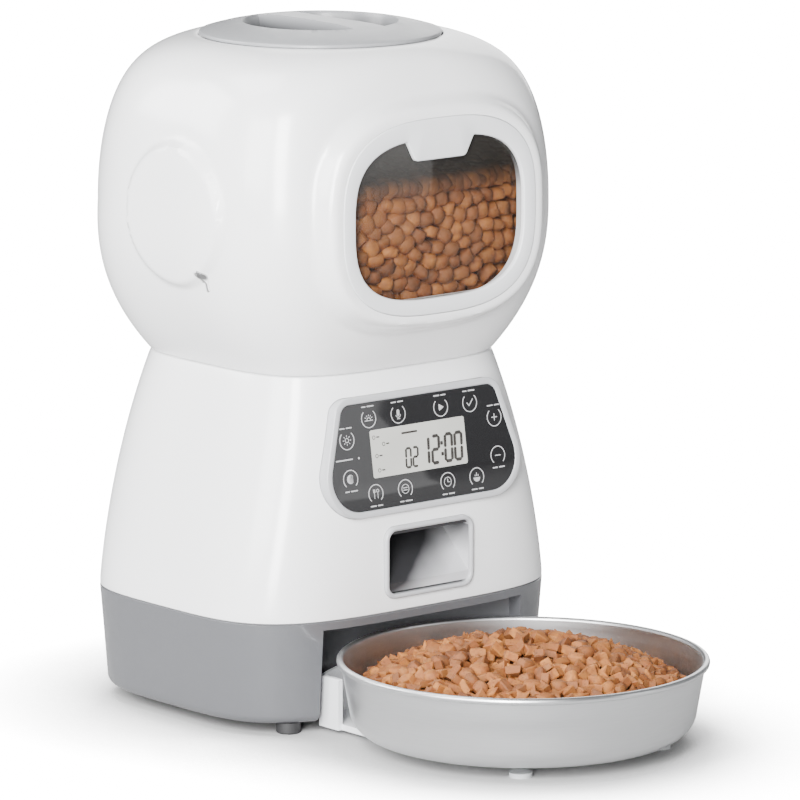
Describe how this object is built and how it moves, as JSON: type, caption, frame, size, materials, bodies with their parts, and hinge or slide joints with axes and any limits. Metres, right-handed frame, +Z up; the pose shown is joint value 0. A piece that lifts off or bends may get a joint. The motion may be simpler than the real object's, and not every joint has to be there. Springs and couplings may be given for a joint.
{
  "type": "automatic pet feeder",
  "caption": "Automatic pet feeder: round-cornered food tank with cat-eared window on a waisted body, touch panel, drop chute and steel bowl",
  "frame": {"origin": "floor level, under the middle of the feeder's box", "axes": "+Z up, -Y towards the bowl at the front, +X towards the viewer's right when facing the front"},
  "size_m": [0.19, 0.2963, 0.303],
  "materials": {
    "housing_white": "satin gloss moulded ABS",
    "base_grey": "satin grey moulded ABS",
    "lid_grey": "satin grey moulded ABS",
    "trim_silver": "silver-grey lacquered trim",
    "panel_black": "high gloss printed acrylic",
    "window_smoke": "smoked clear plastic",
    "bowl_steel": "spun and brushed stainless steel",
    "rubber_black": "matte rubber",
    "pad_clear": "clear soft pad",
    "silicone_grey": "matte silicone",
    "vane_silicone": "soft silicone",
    "inner_white": "satin moulded plastic",
    "inner_black": "matte moulded plastic",
    "acetal": "acetal",
    "screw_steel": "zinc plated steel",
    "brass": "turned brass",
    "board_green": "solder-masked circuit board",
    "display": "liquid crystal display",
    "desiccant": "paper sachet",
    "cable_sheath": "smooth insulated cable"
  },
  "bodies": {
    "feeder": {"base_shell": "base_grey", "base_plate": "base_grey", "base_screws": "screw_steel", "rubber_feet": "rubber_black", "battery_tray": "inner_black", "battery_contacts": "brass", "power_jack": "inner_black", "speaker": "inner_black", "body_shell": "housing_white", "body_screws": "screw_steel", "inner_frame": "inner_black", "outlet_chute": "base_grey", "outlet_rim": "trim_silver", "panel_frame": "trim_silver", "panel_glass": "panel_black", "lcd_module": "display", "touch_springs": "screw_steel", "control_board": "board_green", "board_parts": "inner_black", "microphone": "screw_steel", "head_shell": "housing_white", "head_screws": "screw_steel", "window_bezel": "trim_silver", "window_pane": "window_smoke", "tank_funnel": "inner_white", "funnel_baffle": "inner_white", "filler_collar": "inner_white", "dispenser_cup": "inner_white", "home_switch": "inner_black", "gearbox_housing": "inner_black", "gearbox_cover": "inner_black", "gearbox_screws": "screw_steel", "idler_pin": "screw_steel", "motor": "screw_steel", "motor_screws": "screw_steel", "motor_cable": "cable_sheath", "battery_cable": "cable_sheath", "power_cable": "cable_sheath"},
    "seal": {"lid_gasket": "silicone_grey"},
    "lid": {"lid": "lid_grey", "desiccant_box": "inner_white", "desiccant_cover": "inner_white", "desiccant_bag": "desiccant"},
    "rotor": {"rotor_hub": "base_grey", "rotor_vanes": "vane_silicone", "stirrer": "base_grey", "drive_shaft": "screw_steel", "output_gear": "acetal", "home_cam": "acetal"},
    "idler": {"idler_gear": "acetal"},
    "pinion": {"motor_pinion": "brass", "motor_shaft": "screw_steel"},
    "holder": {"bowl_holder": "housing_white", "holder_feet": "pad_clear"},
    "bowl": {"bowl": "bowl_steel"},
    "battery_door": {"battery_door": "base_grey"}
  },
  "joints": [
    {"name": "lid_lift", "type": "slide", "parent": "feeder", "child": "seal", "axis": [0, 0, 1], "range_m": [0, 0.06]},
    {"name": "lid_turn", "type": "hinge", "parent": "seal", "child": "lid", "pos_m": [0, 0.0701, 0.29], "axis": [0, 0, 1], "range_deg": [0, 30]},
    {"name": "rotor_turn", "type": "hinge", "parent": "feeder", "child": "rotor", "pos_m": [0, 0.0781, 0.12], "axis": [0, 0, 1], "continuous": true},
    {"name": "idler_turn", "type": "hinge", "parent": "feeder", "child": "idler", "pos_m": [0.02338, 0.0916, 0.11], "axis": [0, 0, 1], "continuous": true},
    {"name": "pinion_turn", "type": "hinge", "parent": "feeder", "child": "pinion", "pos_m": [0, 0.1051, 0.105], "axis": [0, 0, 1], "continuous": true},
    {"name": "holder_slide", "type": "slide", "parent": "feeder", "child": "holder", "axis": [0, -1, 0], "range_m": [0, 0.05]},
    {"name": "bowl_draw_out", "type": "slide", "parent": "holder", "child": "bowl", "axis": [0, -0.9397, 0.342], "range_m": [0, 0.08]},
    {"name": "battery_door_hinge", "type": "hinge", "parent": "feeder", "child": "battery_door", "pos_m": [0, 0.1299, 0.0064], "axis": [1, 0, 0], "range_deg": [0, 100]}
  ],
  "couplings": [
    {"joint": "idler_turn", "follows": "rotor_turn", "ratio": -2.8571},
    {"joint": "pinion_turn", "follows": "rotor_turn", "ratio": 8.1633}
  ]
}
